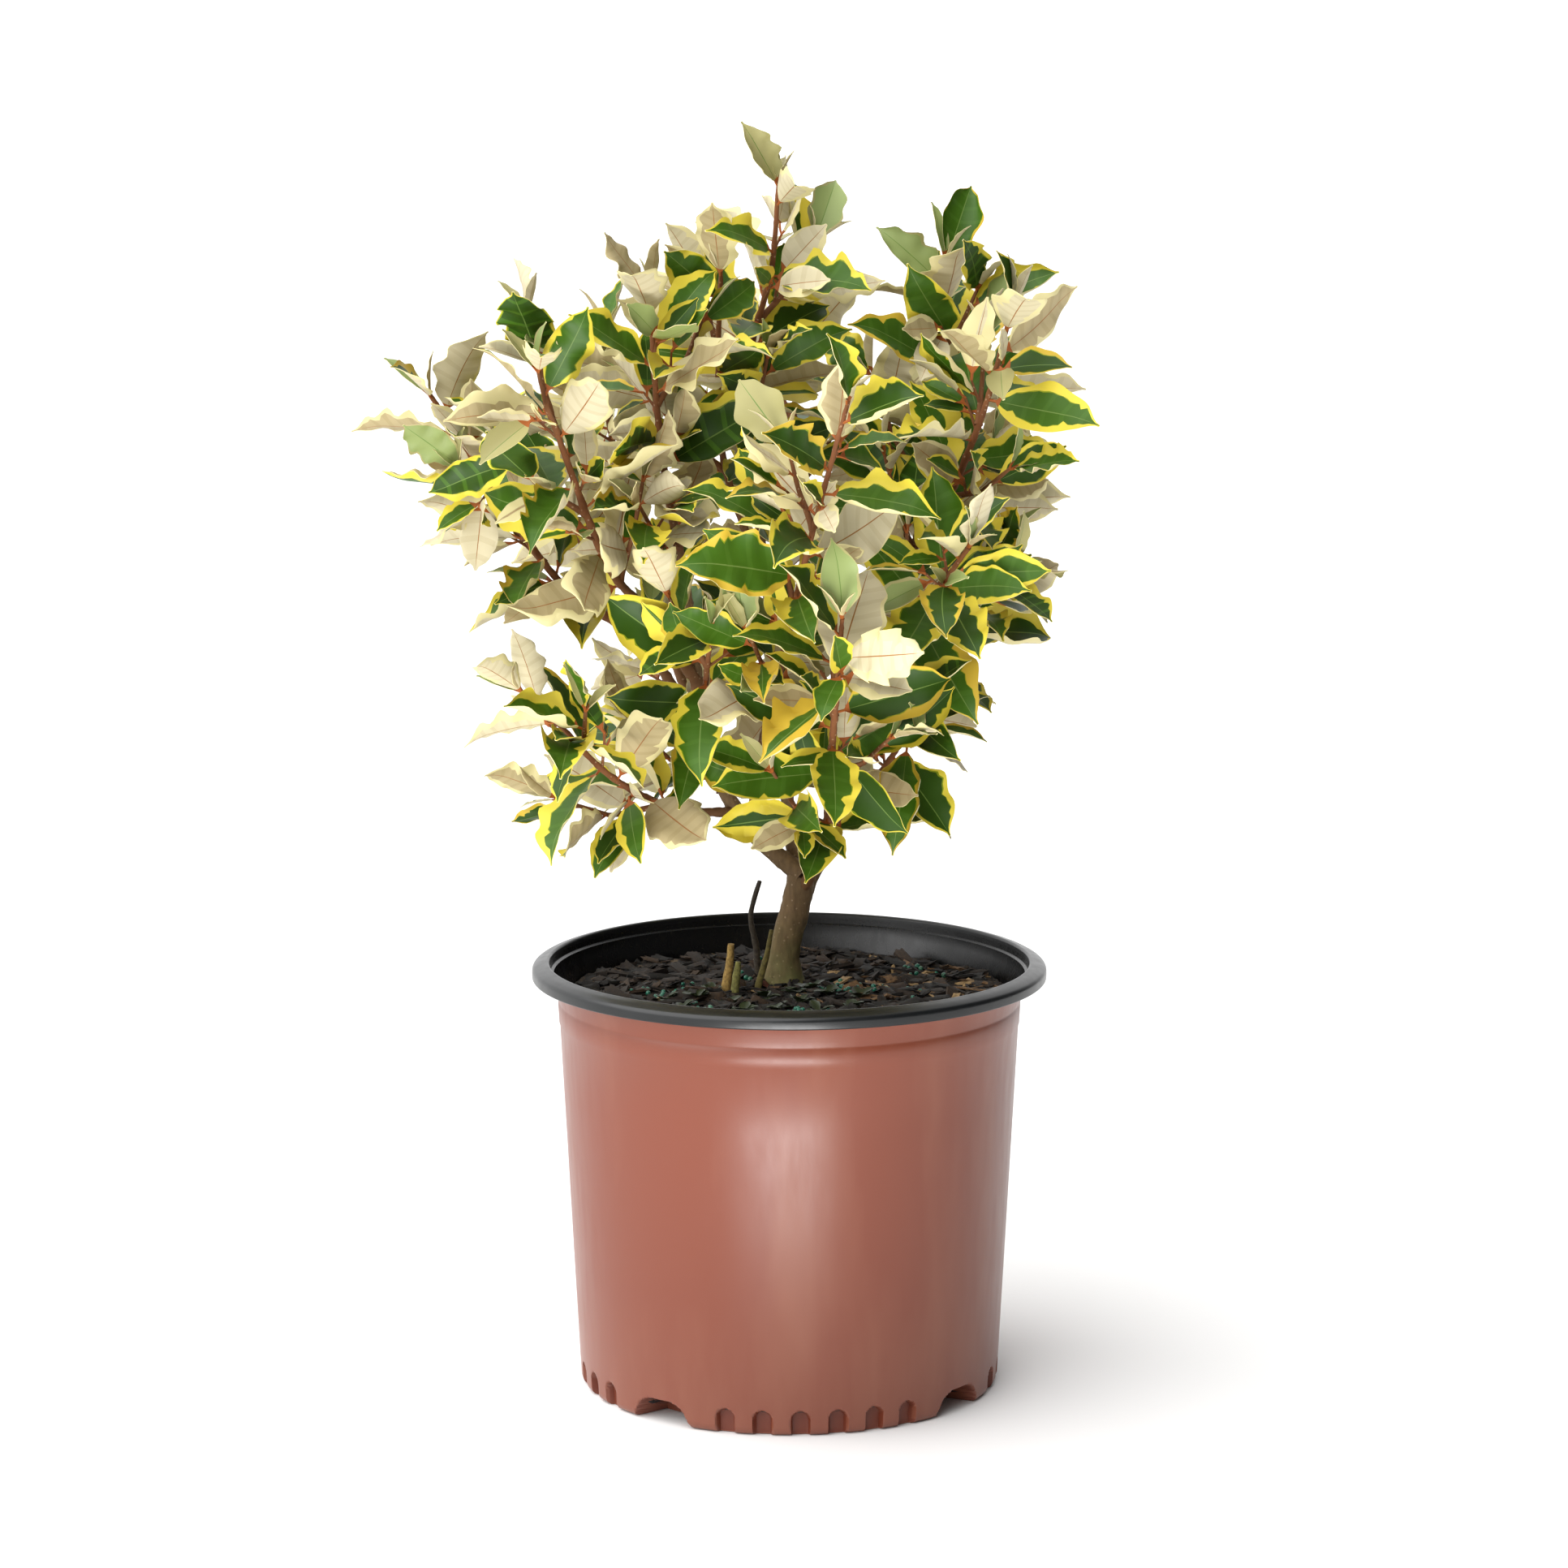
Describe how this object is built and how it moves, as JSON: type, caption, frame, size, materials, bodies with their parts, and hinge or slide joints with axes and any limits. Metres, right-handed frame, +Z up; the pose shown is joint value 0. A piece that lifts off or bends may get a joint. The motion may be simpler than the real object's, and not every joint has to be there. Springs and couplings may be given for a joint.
{
  "type": "potted elaeagnus shrub",
  "caption": "Young variegated elaeagnus shrub in a round nursery pot: a short trunk, upright open boughs and masses of yellow-edged leaves, standing on the pot's flat underside.",
  "frame": {"origin": "middle of the pot's flat underside", "axes": "+Z up along the pot's axis; -Y towards the viewer of the picture; +X to that viewer's right"},
  "size_m": [0.4137, 0.3609, 0.7123],
  "materials": {
    "pot_plastic": "satin, injection moulded",
    "potting_mix": "loose composted bark",
    "old_bark": "rough grey-brown bark",
    "young_bark": "scurfy orange-brown bark",
    "foliage": "leathery leaves, satin above and silvery below",
    "cut_wood": "dry, cut across"
  },
  "bodies": {
    "root": {"pot": "pot_plastic", "potting_mix": "potting_mix", "trunk": "old_bark", "front_low": "young_bark", "front_centre": "young_bark", "front_left": "young_bark", "right_middle": "young_bark", "left_upper": "young_bark", "left_low": "young_bark", "left_stem": "old_bark", "left_outer": "young_bark", "right_stem": "old_bark", "leader": "old_bark", "leader_side": "young_bark", "right_inner": "young_bark", "right_outer": "young_bark", "right_low": "young_bark", "back_left": "young_bark", "back_centre": "young_bark", "back_right": "young_bark", "back_low_left": "young_bark", "back_low_right": "young_bark", "front_low_leaves": "foliage", "front_centre_leaves": "foliage", "front_left_leaves": "foliage", "right_middle_leaves": "foliage", "left_upper_leaves": "foliage", "left_low_leaves": "foliage", "left_stem_leaves": "foliage", "left_outer_leaves": "foliage", "right_stem_leaves": "foliage", "leader_leaves": "foliage", "leader_side_leaves": "foliage", "right_inner_leaves": "foliage", "right_outer_leaves": "foliage", "right_low_leaves": "foliage", "back_left_leaves": "foliage", "back_centre_leaves": "foliage", "back_right_leaves": "foliage", "back_low_left_leaves": "foliage", "back_low_right_leaves": "foliage", "dead_twig": "cut_wood", "stub_tall": "cut_wood", "stub_green": "cut_wood", "stub_olive": "cut_wood"}
  },
  "joints": []
}
